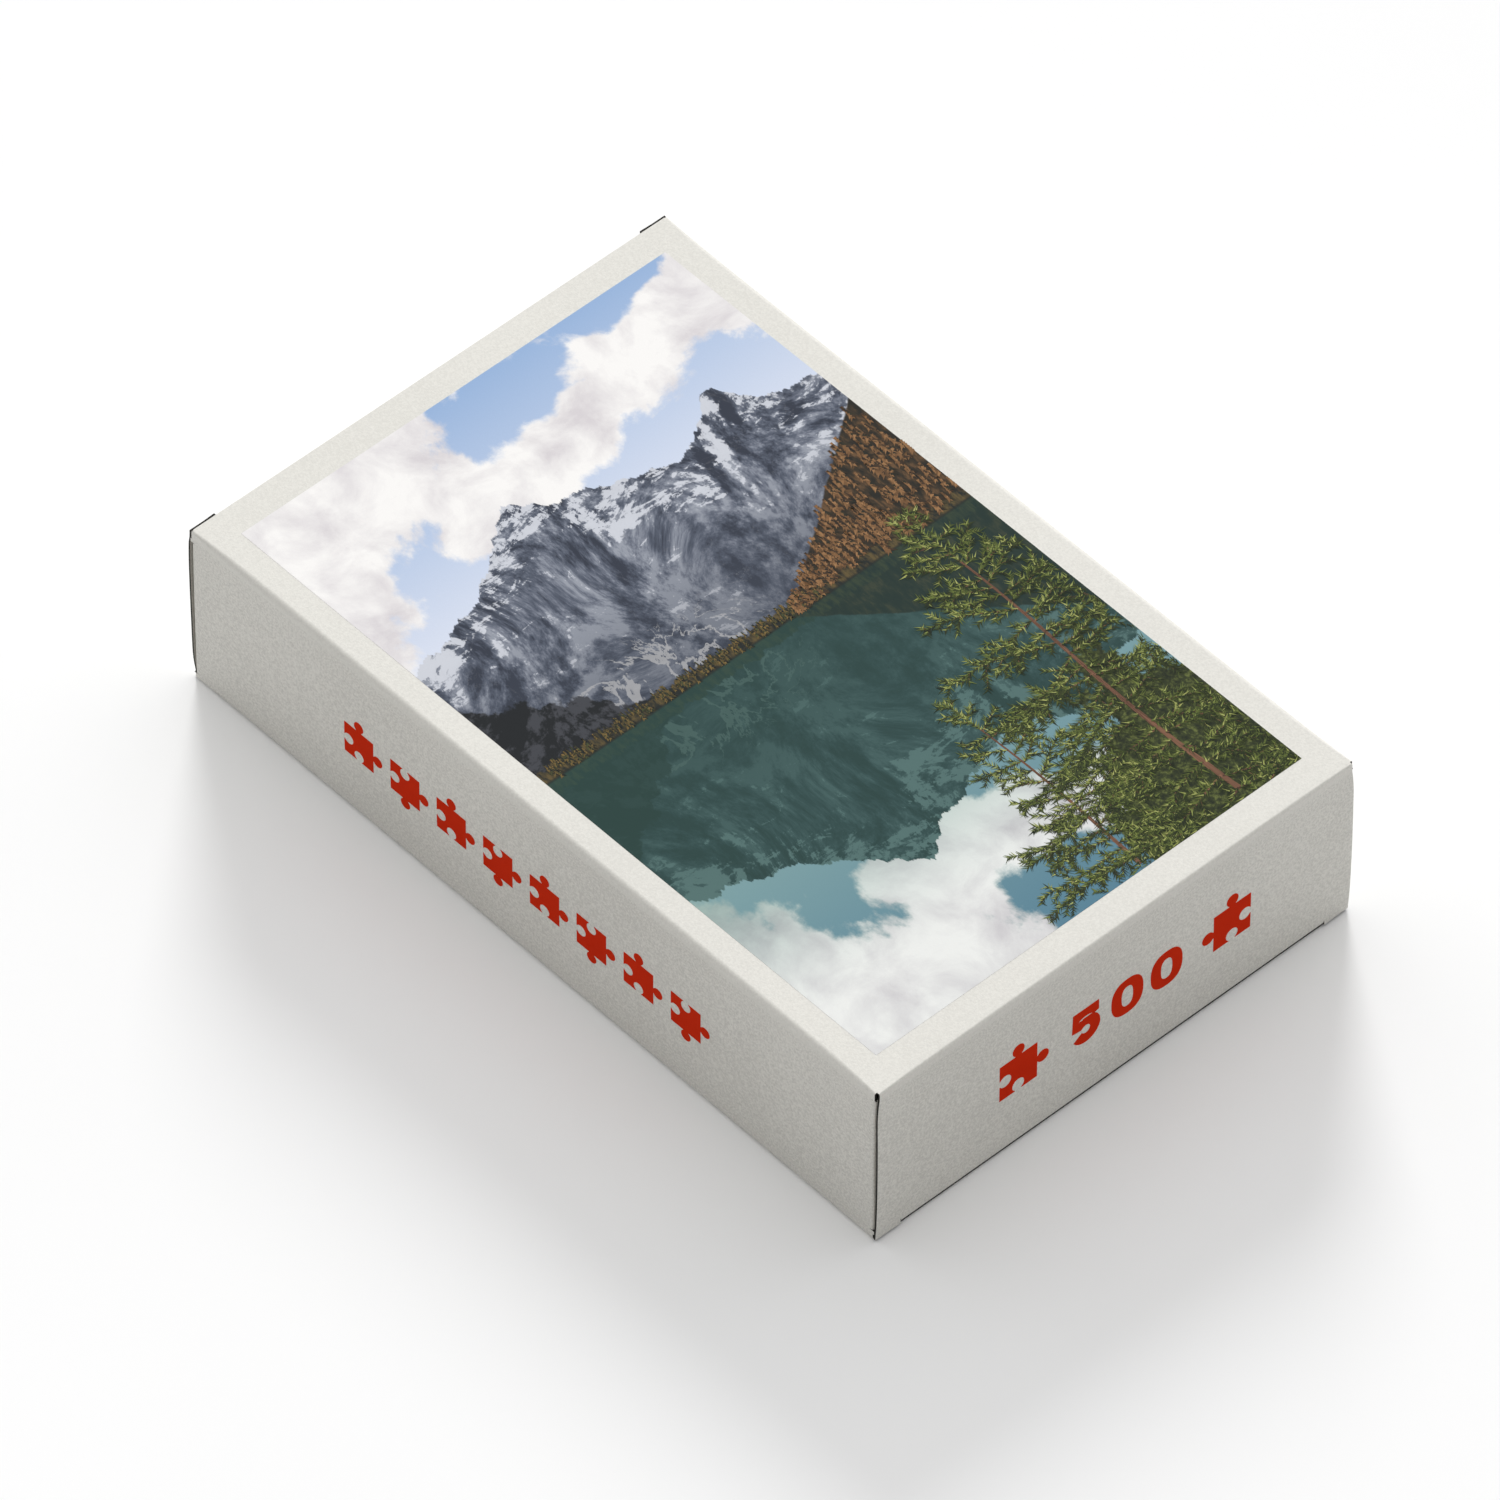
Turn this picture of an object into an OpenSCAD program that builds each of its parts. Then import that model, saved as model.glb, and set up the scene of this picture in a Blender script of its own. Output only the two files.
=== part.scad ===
// Boxed jigsaw puzzle: a reverse-tuck folding carton, a sealed bag and 500 loose pieces.
// X runs along the box, Y across it and Z up. The origin is at the middle of the base.

/* [Carton] */
// Outside length, end to end
box_l = 220; // [218:1:240]
// Outside width
box_w = 140; // [138:1:160]
// Outside height
box_h = 48; // [47:1:60]
// Thickness of the boxboard
board_t = 0.5; // [0.4:0.05:0.6]
// Outside radius of the long folds and of the closures' hinge folds
fold_r = 2; // [1.6:0.1:2.2]
// Height of the flap that the side seam is glued to
glue_flap_h = 16; // [10:1:20]

/* [End flaps] */
// Outside radius of the dust flaps' and tuck flaps' folds
flap_fold_r = 1.2; // [1:0.1:1.4]
// Clearance between a closure and the dust flaps behind it
slip = 0.4; // [0.3:0.1:0.6]
// Length of a tuck flap, from its fold to its free edge
tuck_len = 15; // [12:0.5:15]
// Angle between a closed tuck flap and the panel beside it
tuck_tilt = 16.5; // [16.5:0.5:18]
// Length of the slit at each end of a tuck fold
slit_len = 7; // [5:0.5:9]
// Length of a dust flap, from its fold to its free edge
dust_len = 38; // [30:1:42]
// Taper of a dust flap on the side of the closure's hinge
dust_taper = 28; // [28:1:32]

/* [Bag] */
// Length of the filled bag, without its seals
bag_l = 196; // [196:1:198]
// Width of the filled bag
bag_w = 128; // [128:1:130]
// Height of the filled bag
bag_h = 40; // [40:0.5:41]
// Thickness of the film
film_t = 0.15; // [0.1:0.05:0.2]
// Length of the flat seal at each end
seal_len = 5; // [3:0.5:5]

/* [Jigsaw] */
// Pieces along the finished picture
piece_cols = 25; // [20:1:25]
// Pieces up the finished picture
piece_rows = 20; // [15:1:20]
// Length of one piece, without its tabs
cell_l = 19.2; // [18:0.1:19.2]
// Width of one piece, without its tabs
cell_w = 18; // [17:0.1:18]
// Thickness of the pressed board
piece_t = 1.9; // [1.6:0.1:1.9]
// Radius of a tab's round head
knob_r = 2.6; // [2.2:0.1:2.6]
// Share of the seams whose tab points the other way from the regular pattern
flip_share = 0.15; // [0:0.05:0.5]

/* [Hidden] */

$fn = 48;
half_l = box_l / 2;
half_w = box_w / 2;
cream = [0.90, 0.89, 0.86];
greyboard = [0.62, 0.58, 0.52];

// A fold is a quarter ring. Where it is a hinge, each panel keeps fold_share degrees of it.
fold_share = 40;
end_fold_x = half_l - fold_r;          // middle of a hinge fold's ring
end_fold_half = half_w - fold_r - 0.3; // half length of a closure's hinge fold
raw_x = half_l - board_t - 0.2;        // the tube's cut edge, just inside the closure
dust_face_x = half_l - board_t - slip; // outer face of a closed dust flap
dust_fold_x = dust_face_x - flap_fold_r;

closure_half = half_w - 0.3;
closure_low_z = 0.15;                  // the locking corners stop just above the base plane
tuck_gap = 0.3;                        // between a tuck fold and the panel beside it
tuck_fold_x = half_l - flap_fold_r;
tuck_fold_z = board_t + tuck_gap + flap_fold_r;
tuck_fold_half = closure_half - slit_len;
tuck_half = closure_half - 1.2;
tuck_neck = 1.4;                       // depth of the slit behind the fold
tuck_corner_r = (tuck_len - tuck_neck) / 2;

dust_low_z = 3.4;                      // lower edge of a dust flap, above the tuck flap
dust_high_z = box_h - fold_r - 0.5;
dust_chamfer = 8;

seam_gap = 0.3;                        // the seam's cut edge above the base plane
glue_taper = 10;

// The bag is a soft pillow. Its outlines are superellipses, nearly flat on top and below.
bag_low_z = board_t + 0.3;
end_power = 6;
crown_power = 3;
bag_steps = 12;                        // outline points in each quarter
bag_corner_r = 14;

// Tabs and blanks
neck_w = 3.2;
knob_out = 1.4;                        // from the piece's side to the middle of the knob
cut_gap = 0.1;
piece_count = piece_cols * piece_rows;

// Loose pieces lie in staggered layers inside the bag, each turned its own way.
reach = max(norm([cell_l, cell_w]), cell_l + 2 * (knob_out + knob_r)) / 2;
slot_pitch = 2 * reach + 0.05;
row_pitch = slot_pitch * sin(60);
layer_pitch = piece_t + 0.1;
bag_clear = 0.6;
layers = floor((bag_h - 2 * bag_clear - piece_t) / layer_pitch) + 1;

function layer_z(k) = bag_clear + k * layer_pitch;
function layer_rise(k) =
    max(abs(layer_z(k) - bag_h / 2), abs(layer_z(k) + piece_t - bag_h / 2)) / (bag_h / 2);
function layer_half(k, half) =
    half * pow(1 - pow(layer_rise(k), crown_power), 1 / end_power) - bag_clear;
function slots_across(half, pitch) = half < reach ? 0 : floor(2 * (half - reach) / pitch) + 1;

slots = [
    for (k = [0 : layers - 1])
        let (rows = slots_across(layer_half(k, bag_w / 2), row_pitch),
             cols = slots_across(layer_half(k, bag_l / 2), slot_pitch))
        for (r = [0 : 1 : rows - 1])
            let (n = cols - r % 2)
            for (c = [0 : 1 : n - 1])
                [(c - (n - 1) / 2) * slot_pitch, (r - (rows - 1) / 2) * row_pitch, layer_z(k)]
];
shuffle_step = 211;                    // a prime, so that every piece gets a slot of its own
turns = rands(0, 360, piece_count, 7);
flips_across = rands(0, 1, piece_count, 11);
flips_up = rands(0, 1, piece_count, 23);

// Which way a seam's tab points: 1 along +X or +Y, -1 the other way.
function checker(c, r) = (c + r) % 2 == 0 ? 1 : -1;
function seam_across(c, r) =
    checker(c, r) * (flips_across[r * piece_cols + c] < flip_share ? -1 : 1);
function seam_up(c, r) = -checker(c, r) * (flips_up[r * piece_cols + c] < flip_share ? -1 : 1);

// A piece's sides, anticlockwise from +X: 1 is a tab, -1 a blank and 0 a straight border.
function sides(c, r) = [
    c == piece_cols - 1 ? 0 : seam_across(c, r),
    r == piece_rows - 1 ? 0 : seam_up(c, r),
    c == 0 ? 0 : -seam_across(c - 1, r),
    r == 0 ? 0 : -seam_up(c, r - 1)
];
function count_of(list, value) = len([for (v = list) if (v == value) v]);

function superellipse(a, b, a_power, b_power) = [
    for (i = [0 : 4 * bag_steps - 1])
        let (angle = i * 90 / bag_steps)
        [a * sign(cos(angle)) * pow(abs(cos(angle)), 2 / a_power),
         b * sign(sin(angle)) * pow(abs(sin(angle)), 2 / b_power)]
];

// ---------- Shared shapes ----------

// A stretch of a fold's ring of outside radius r, in a plane, from angle a to angle b.
module ring_sector(r, a, b) {
    far = 2 * r;
    intersection() {
        difference() {
            circle(r = r);
            circle(r = r - board_t);
        }
        polygon([[0, 0], for (i = [0 : 4]) let (t = a + (b - a) * i / 4) far * [cos(t), sin(t)]]);
    }
}

// A long fold of the tube, which runs along X.
module long_fold(y, z, a, b) {
    translate([0, y, z])
        rotate([90, 0, 90])
            linear_extrude(2 * dust_fold_x, center = true)
                ring_sector(fold_r, a, b);
}

// A fold that runs along Y, centred on the box.
module cross_fold(x, z, half, r, a, b) {
    translate([x, 0, z])
        rotate([90, 0, 0])
            linear_extrude(2 * half, center = true)
                ring_sector(r, a, b);
}

// A vertical plate that faces along X, from an outline in Y and Z. Its outer face is at x.
module end_plate(x) {
    translate([x - board_t, 0, 0])
        rotate([90, 0, 90])
            linear_extrude(board_t)
                children();
}

// The back end is the front end turned half a turn about the box's middle line.
module at_back() {
    translate([0, 0, box_h])
        rotate([0, 180, 0])
            children();
}

// A panel that a closure hinges on: flat, with a cut edge at -X and the hinge fold at +X.
module end_hinged_panel(y0, y1) {
    translate([-raw_x, y0, box_h - board_t])
        cube([raw_x + end_fold_x, y1 - y0, board_t]);
    cross_fold(end_fold_x, box_h - fold_r, end_fold_half, fold_r, 90 - fold_share, 90);
}

// A side panel between z0 and z1, with its half of the dust flaps' folds at both ends.
module side_panel(z0, z1) {
    translate([-dust_fold_x, -half_w, z0])
        cube([2 * dust_fold_x, board_t, z1 - z0]);
    for (turn = [0, 1])
        mirror([turn, 0, 0])
            translate([dust_fold_x, -half_w + flap_fold_r, dust_low_z])
                linear_extrude(dust_high_z - dust_low_z)
                    ring_sector(flap_fold_r, -90, -90 + fold_share);
}

// ---------- End flaps, as they stand at the front ----------

module closure_panel() {
    end_plate(half_l)
        polygon([
            [-closure_half, closure_low_z], [-tuck_fold_half, closure_low_z],
            [-tuck_fold_half, tuck_fold_z], [tuck_fold_half, tuck_fold_z],
            [tuck_fold_half, closure_low_z], [closure_half, closure_low_z],
            [closure_half, box_h - fold_r], [-closure_half, box_h - fold_r]
        ]);
    cross_fold(end_fold_x, box_h - fold_r, end_fold_half, fold_r, 0, fold_share);
    cross_fold(tuck_fold_x, tuck_fold_z, tuck_fold_half - 0.2, flap_fold_r, -fold_share, 0);
}

module tuck_outline() {
    inner_half = tuck_half - tuck_corner_r;
    translate([-tuck_neck, -tuck_fold_half + 0.2])
        square([tuck_neck, 2 * (tuck_fold_half - 0.2)]);
    translate([-tuck_len, -inner_half])
        square([tuck_len - tuck_neck, 2 * inner_half]);
    translate([-tuck_len + tuck_corner_r, -tuck_half])
        square([tuck_len - tuck_neck - tuck_corner_r, 2 * tuck_half]);
    for (side = [-1, 1])
        translate([-tuck_len + tuck_corner_r, side * inner_half])
            circle(r = tuck_corner_r);
}

module tuck_flap() {
    cross_fold(tuck_fold_x, tuck_fold_z, tuck_fold_half - 0.2, flap_fold_r,
        -90 - tuck_tilt, -90 + fold_share);
    translate([tuck_fold_x, 0, tuck_fold_z])
        rotate([0, tuck_tilt, 0])
            translate([0, 0, -flap_fold_r])
                linear_extrude(board_t)
                    tuck_outline();
}

module dust_flap() {
    root_y = -half_w + flap_fold_r;
    tip_y = root_y + dust_len;
    end_plate(dust_face_x)
        polygon([
            [root_y, dust_low_z], [tip_y - dust_chamfer, dust_low_z],
            [tip_y, dust_low_z + dust_chamfer],
            [tip_y, dust_high_z - dust_len * tan(dust_taper)], [root_y, dust_high_z]
        ]);
    translate([dust_fold_x, root_y, dust_low_z])
        linear_extrude(dust_high_z - dust_low_z)
            ring_sector(flap_fold_r, -fold_share, 0);
}

// ---------- Carton ----------

module cover_panel() {
    color(cream) {
        end_hinged_panel(-half_w + fold_r, half_w - fold_r);
        for (side = [0, 1])
            mirror([0, side, 0])
                long_fold(half_w - fold_r, box_h - fold_r, 0, 90);
    }
}

module base_panel() {
    color(cream) {
        at_back()
            end_hinged_panel(-half_w + fold_r, half_w - board_t - fold_r);
        long_fold(-half_w + fold_r, fold_r, 180, 270);
        long_fold(half_w - board_t - fold_r, fold_r, -90, 0);
    }
}

module left_side_panel() {
    color(cream)
        side_panel(fold_r, box_h - fold_r);
}

module right_side_panel() {
    color(cream)
        mirror([0, 1, 0])
            side_panel(seam_gap, box_h - fold_r);
}

module glue_flap() {
    root = dust_fold_x;
    color(cream)
        translate([0, half_w - board_t, 0])
            rotate([90, 0, 0])
                linear_extrude(board_t)
                    polygon([
                        [-root, fold_r], [root, fold_r],
                        [root - glue_taper, glue_flap_h], [-root + glue_taper, glue_flap_h]
                    ]);
}

module front_closure_panel() {
    color(cream)
        closure_panel();
}

module front_tuck_flap() {
    color(cream)
        tuck_flap();
}

module front_left_dust_flap() {
    color(cream)
        dust_flap();
}

module front_right_dust_flap() {
    color(cream)
        mirror([0, 1, 0])
            dust_flap();
}

module back_closure_panel() {
    color(cream)
        at_back()
            closure_panel();
}

module back_tuck_flap() {
    color(cream)
        at_back()
            tuck_flap();
}

module back_left_dust_flap() {
    color(cream)
        at_back()
            dust_flap();
}

module back_right_dust_flap() {
    color(cream)
        at_back()
            mirror([0, 1, 0])
                dust_flap();
}

// ---------- Bag ----------

// The pillow shape, with every side moved in by inset.
module pillow(inset) {
    a = bag_l / 2 - inset;
    b = bag_w / 2 - inset;
    c = bag_h / 2 - inset;
    corner_r = bag_corner_r - inset;
    intersection() {
        rotate([90, 0, 0])
            linear_extrude(bag_w, center = true)
                polygon(superellipse(a, c, end_power, crown_power));
        rotate([90, 0, 90])
            linear_extrude(bag_l, center = true)
                polygon(superellipse(b, c, end_power, crown_power));
        linear_extrude(bag_h, center = true) {
            square([2 * a, 2 * (b - corner_r)], center = true);
            square([2 * (a - corner_r), 2 * b], center = true);
            for (x = [-1, 1], y = [-1, 1])
                translate([x * (a - corner_r), y * (b - corner_r)])
                    circle(r = corner_r);
        }
    }
}

module piece_bag() {
    seal_start = bag_l / 2 - film_t / 2;
    color([0.85, 0.88, 0.9, 0.4])
        translate([0, 0, bag_low_z + bag_h / 2]) {
            difference() {
                pillow(0);
                pillow(film_t);
            }
            for (side = [0, 1])
                mirror([side, 0, 0])
                    translate([seal_start, -bag_w / 2 + bag_corner_r, -film_t])
                        cube([seal_len, bag_w - 2 * bag_corner_r, 2 * film_t]);
        }
}

// ---------- Jigsaw pieces ----------

// A tab that crosses the side at x = side, with its knob on the outside when way is 1.
module tab(side, way, grow) {
    translate([side + way * knob_out, 0])
        circle(r = knob_r + grow, $fn = 32);
    translate([side + way * (knob_out - 1) / 2, 0])
        square([knob_out + 1, neck_w + 2 * grow], center = true);
}

module piece(piece_sides) {
    half = [cell_l / 2, cell_w / 2, cell_l / 2, cell_w / 2];
    linear_extrude(piece_t)
        difference() {
            union() {
                square([cell_l, cell_w], center = true);
                for (i = [0 : 3])
                    if (piece_sides[i] == 1)
                        rotate(90 * i)
                            tab(half[i], 1, 0);
            }
            for (i = [0 : 3])
                if (piece_sides[i] == -1)
                    rotate(90 * i)
                        tab(half[i], -1, cut_gap);
        }
}

// Every piece with this many straight borders and, unless tabs is undef, this many tabs.
module loose_pieces(borders, tabs) {
    color(greyboard)
        translate([0, 0, bag_low_z])
            for (i = [0 : piece_count - 1])
                let (s = sides(i % piece_cols, floor(i / piece_cols)),
                     place = (i * shuffle_step) % piece_count)
                if (count_of(s, 0) == borders && (is_undef(tabs) || count_of(s, 1) == tabs))
                    translate(slots[place])
                        rotate(turns[i])
                            piece(s);
}

module corner_pieces() {
    loose_pieces(2, undef);
}

module edge_pieces() {
    loose_pieces(1, undef);
}

module no_tab_pieces() {
    loose_pieces(0, 0);
}

module one_tab_pieces() {
    loose_pieces(0, 1);
}

module two_tab_pieces() {
    loose_pieces(0, 2);
}

module three_tab_pieces() {
    loose_pieces(0, 3);
}

module four_tab_pieces() {
    loose_pieces(0, 4);
}

cover_panel();
base_panel();
left_side_panel();
right_side_panel();
glue_flap();
front_closure_panel();
front_tuck_flap();
front_left_dust_flap();
front_right_dust_flap();
back_closure_panel();
back_tuck_flap();
back_left_dust_flap();
back_right_dust_flap();
piece_bag();
corner_pieces();
edge_pieces();
one_tab_pieces();
two_tab_pieces();
three_tab_pieces();
four_tab_pieces();
no_tab_pieces();
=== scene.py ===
"""Finishes for a boxed jigsaw puzzle: a folding carton, its print, a film bag and 500 loose pieces.

Lengths are in millimetres until a mesh is made, and +X, +Y and +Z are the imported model's own.
"""
import math

import bmesh
import bpy
import numpy as np
from mathutils import Matrix, Vector


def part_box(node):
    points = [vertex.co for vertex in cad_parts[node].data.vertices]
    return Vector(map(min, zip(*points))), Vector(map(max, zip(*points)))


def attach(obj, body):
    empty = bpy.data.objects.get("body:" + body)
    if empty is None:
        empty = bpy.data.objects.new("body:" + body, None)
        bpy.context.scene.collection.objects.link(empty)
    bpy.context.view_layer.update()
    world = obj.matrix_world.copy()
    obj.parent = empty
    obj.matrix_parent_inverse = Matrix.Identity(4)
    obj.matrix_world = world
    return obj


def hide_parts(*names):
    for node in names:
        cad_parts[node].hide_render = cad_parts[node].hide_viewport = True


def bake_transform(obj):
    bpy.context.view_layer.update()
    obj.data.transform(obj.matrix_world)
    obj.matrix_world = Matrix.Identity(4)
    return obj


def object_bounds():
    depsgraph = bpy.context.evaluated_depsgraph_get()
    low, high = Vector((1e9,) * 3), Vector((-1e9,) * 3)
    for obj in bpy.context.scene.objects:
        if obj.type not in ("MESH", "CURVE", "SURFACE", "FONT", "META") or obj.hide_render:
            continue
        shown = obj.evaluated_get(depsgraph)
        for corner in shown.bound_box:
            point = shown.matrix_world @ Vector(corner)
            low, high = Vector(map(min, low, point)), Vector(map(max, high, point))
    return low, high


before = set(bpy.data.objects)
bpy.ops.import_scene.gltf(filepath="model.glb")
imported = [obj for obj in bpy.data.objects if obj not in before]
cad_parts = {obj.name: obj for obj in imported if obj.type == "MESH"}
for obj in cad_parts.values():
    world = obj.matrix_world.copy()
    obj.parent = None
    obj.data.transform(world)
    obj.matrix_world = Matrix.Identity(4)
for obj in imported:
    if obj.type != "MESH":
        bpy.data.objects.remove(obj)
CAD_LOW, CAD_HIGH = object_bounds()

MM = 0.001

# ---------- The carton's sizes ----------


def span(node, axis):
    """A node's lowest and highest place along an axis."""
    low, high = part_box(node)
    return low[axis] / MM, high[axis] / MM


HALF_L = CAD_HIGH[0] / MM
HALF_W = CAD_HIGH[1] / MM
BOX_H = CAD_HIGH[2] / MM
BOARD_T = span("glue_flap", 1)[1] - span("glue_flap", 1)[0]

# Fold radii over the outer face: the CAD's own two, then those that the visible folds have
FOLD_R = 2.0
FLAP_FOLD_R = 1.2
LID_FOLD_R = 1.6
BASE_FOLD_R = 1.9
LID_HINGE_R = 0.9
BASE_HINGE_R = 1.9
DUST_FOLD_R = 0.6
CORNER_R = 0.4
BASE_CORNER_R = 1.3

# The flaps, as the blank is cut. LEAD is the flat strip at both ends of a fold's arc.
SLIT_LEN = 7.0
TUCK_TILT = math.radians(16.5)
TUCK_LEN = 15.0
TUCK_NECK = 1.4
DUST_CHAMFER = 8.0
DUST_TAPER = math.radians(28)
DUST_LEAN = 0.8
LEAD = 0.2

# Where panels end and folds lie in the closed carton
HINGE_HALF = HALF_W - 0.7
RAW_X = HALF_L - BOARD_T - 0.2
SIDE_END_X = HALF_L - 0.5
FOLD_END_X = HALF_L - 0.85
DUST_FACE_X = HALF_L - BOARD_T - 0.4
DUST_FOLD_X = DUST_FACE_X - DUST_FOLD_R
CLOSURE_HALF = span("front_closure_panel", 1)[1]
CLOSURE_EDGE = HALF_W - 0.1
CLOSURE_LOW = span("front_closure_panel", 2)[0]
FRONT_LOCK_RISE = 0.5
TUCK_FOLD_X = HALF_L - FLAP_FOLD_R
TUCK_FOLD_Z = 2.0
TUCK_FOLD_HALF = CLOSURE_HALF - SLIT_LEN
TUCK_HALF = span("front_tuck_flap", 1)[1]
DUST_LOW, DUST_HIGH = span("front_left_dust_flap", 2)
NOTCH_GAP = 0.12
NOTCH_LOW = DUST_LOW - NOTCH_GAP
NOTCH_HIGH = DUST_HIGH + NOTCH_GAP
DUST_TIP = span("front_left_dust_flap", 1)[1]
DUST_ROOT = HALF_W - DUST_FOLD_R
DUST_TIP_HIGH = DUST_HIGH - (DUST_TIP + DUST_ROOT) * math.tan(DUST_TAPER)
SEAM_Z = span("right_side_panel", 2)[0]
GLUE_TOP = span("glue_flap", 2)[1]
GLUE_TAPER = 10.0

# How far the closed carton's faces bow, and how much of that its ends and corners hold back
SIDE_BULGE = 0.4
SIDE_HOLD = 0.8
SIDE_HOLD_REACH = 12.0
FRONT_BOW = 0.35
BACK_BOW = 0.45
LOCK_LEAN = 0.15
FOLD_OPENING = 9.0
GRID = 4.0


# ---------- Meshes ----------


def new_object(name, data):
    obj = bpy.data.objects.new(name, data)
    bpy.context.scene.collection.objects.link(obj)
    return obj


def make_object(name, vertices, faces, materials, indices=None, smooth=True):
    """A mesh object from points in millimetres, with one material index for each face."""
    mesh = bpy.data.meshes.new(name)
    mesh.from_pydata([tuple(p) for p in np.asarray(vertices, float) * MM], [], faces)
    for material in materials:
        mesh.materials.append(material)
    if indices is not None:
        mesh.polygons.foreach_set("material_index", indices)
    if smooth:
        mesh.polygons.foreach_set("use_smooth", [True] * len(mesh.polygons))
        mesh.set_sharp_from_angle(angle=math.radians(40))
    mesh.validate()
    mesh.update()
    return new_object(name, mesh)


def shell(name, grid, out, materials, thick=BOARD_T, on=None):
    """A closed shell behind a grid of points on its outer face.

    out is the way that the middle of the face points, on says which cells of the grid are there,
    and the three materials are for the outer face, the inner face and the cut edges.
    """
    grid = np.asarray(grid, float)
    nu, nv = grid.shape[:2]
    if on is None:
        on = np.ones((nu - 1, nv - 1), bool)
    normal = np.cross(np.gradient(grid, axis=0), np.gradient(grid, axis=1))
    normal /= np.linalg.norm(normal, axis=2, keepdims=True)
    if normal[nu // 2, nv // 2] @ np.array(out, float) < 0:
        return shell(name, grid[::-1], out, materials, thick, on[::-1])
    points = np.stack([grid, grid - thick * normal])
    used = {}

    def vertex(layer, i, j):
        return used.setdefault((layer, i, j), len(used))

    def is_on(i, j):
        return 0 <= i < nu - 1 and 0 <= j < nv - 1 and on[i, j]

    faces = []
    indices = []
    for i in range(nu - 1):
        for j in range(nv - 1):
            if not on[i, j]:
                continue
            ring = [(i, j), (i + 1, j), (i + 1, j + 1), (i, j + 1)]
            beside = [(i, j - 1), (i + 1, j), (i, j + 1), (i - 1, j)]
            faces.append([vertex(0, *p) for p in ring])
            faces.append([vertex(1, *p) for p in reversed(ring)])
            indices += [0, 1]
            for k in range(4):
                if not is_on(*beside[k]):
                    a, b = ring[k], ring[(k + 1) % 4]
                    faces.append([vertex(0, *b), vertex(0, *a), vertex(1, *a), vertex(1, *b)])
                    indices.append(2)
    vertices = [points[key] for key in used]
    return make_object(name, vertices, faces, materials, indices)


def lines(*stops, step=GRID):
    """Grid lines through every stop, with none further apart than step."""
    out = [stops[0]]
    for a, b in zip(stops, stops[1:]):
        parts = max(1, math.ceil(abs(b - a) / step))
        out += [a + (b - a) * k / parts for k in range(1, parts + 1)]
    return np.array(out)


def middles(values):
    """Halfway between each value and the next."""
    return (values[:-1] + values[1:]) / 2


def arc(centre, radius, start, end, steps=16):
    """Points on an arc, with a short straight lead at both ends. Angles are in degrees."""
    angles = np.radians(np.linspace(start, end, steps + 1))
    points = np.array(centre) + radius * np.stack([np.cos(angles), np.sin(angles)], 1)
    way = math.copysign(1, end - start)
    tangents = way * np.stack([-np.sin(angles), np.cos(angles)], 1)
    return np.vstack([points[0] - LEAD * tangents[0], points, points[-1] + LEAD * tangents[-1]])


def keep(x, y, z):
    return np.stack(np.broadcast_arrays(x, y, z), -1)


def fold_radius(widest, tight, from_corner):
    """A fold's radius: tight where the creases meet at a corner, and widest away from it."""
    return widest - (widest - tight) * np.exp(-np.maximum(from_corner, 0) / FOLD_OPENING)


def swept_fold(corner, widest, tight, start, end, stations, lead):
    """Fold profiles at stations along a fold, given as places and distances from the corner.

    Each is an arc inside the sharp corner, with its two leads ending lead away from that corner.
    """
    rows = []
    inward = np.array([math.cos(math.radians(start)) + math.cos(math.radians(end)),
                       math.sin(math.radians(start)) + math.sin(math.radians(end))])
    for distance in stations:
        radius = float(fold_radius(widest, tight, distance))
        profile = arc(np.array(corner) - radius * inward, radius, start, end)
        for tip, base in ((0, 1), (-1, -2)):
            way = profile[tip] - profile[base]
            profile[tip] = profile[base] + way / np.linalg.norm(way) * (lead - radius)
        rows.append(profile)
    return np.array(rows)


def at_end(points, end):
    """Points at the front end, or the same points turned half a turn to the back end."""
    points = np.asarray(points, float)
    if end == "front":
        return points
    return points * [-1, 1, -1] + [0, 0, BOX_H]


def side_bulge(x, z):
    """How far the long sides bow out at a place. The closures hold their ends nearly straight."""
    held = 1 - SIDE_HOLD * np.exp(-(HALF_L - np.abs(x)) / SIDE_HOLD_REACH)
    return SIDE_BULGE * held * np.sin(np.pi * np.clip(z / BOX_H, 0, 1)) ** 1.5


def end_bow(end, y, z):
    """How far a closure bows out of its plane, at heights above its tuck fold.

    The base's closure bows most near its tuck. The locking corners of both lean in behind the fold.
    """
    low = TUCK_FOLD_Z + LEAD
    high = BOX_H - FOLD_R - LEAD
    share = np.clip((z - low) / (high - low), 0, 1)
    if end == "front":
        bow = FRONT_BOW * np.sin(np.pi * share ** 0.75)
    else:
        bow = BACK_BOW * np.sin(np.pi * share ** 0.5)
    at_corner = np.clip((np.abs(y) - TUCK_FOLD_HALF) / 3.0, 0, 1)
    return bow - LOCK_LEAN * at_corner * np.clip(1 - z / 6.0, 0, 1) ** 2


def bulged(points):
    """The same points, with those near the long sides moved out as the sides bow."""
    points = np.array(points, float)
    share = np.clip((np.abs(points[..., 1]) - HALF_W + FOLD_R) / FOLD_R, 0, 1)
    points[..., 1] += np.sign(points[..., 1]) * share * side_bulge(points[..., 0], points[..., 2])
    return points


# ---------- Node helpers ----------


def operator(operation):
    """A method of Field that puts it, and any other numbers, through a math node."""
    def method(self, *others):
        inputs = dict(enumerate((self,) + others))
        return self.node("ShaderNodeMath", inputs, operation=operation)
    return method


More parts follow.
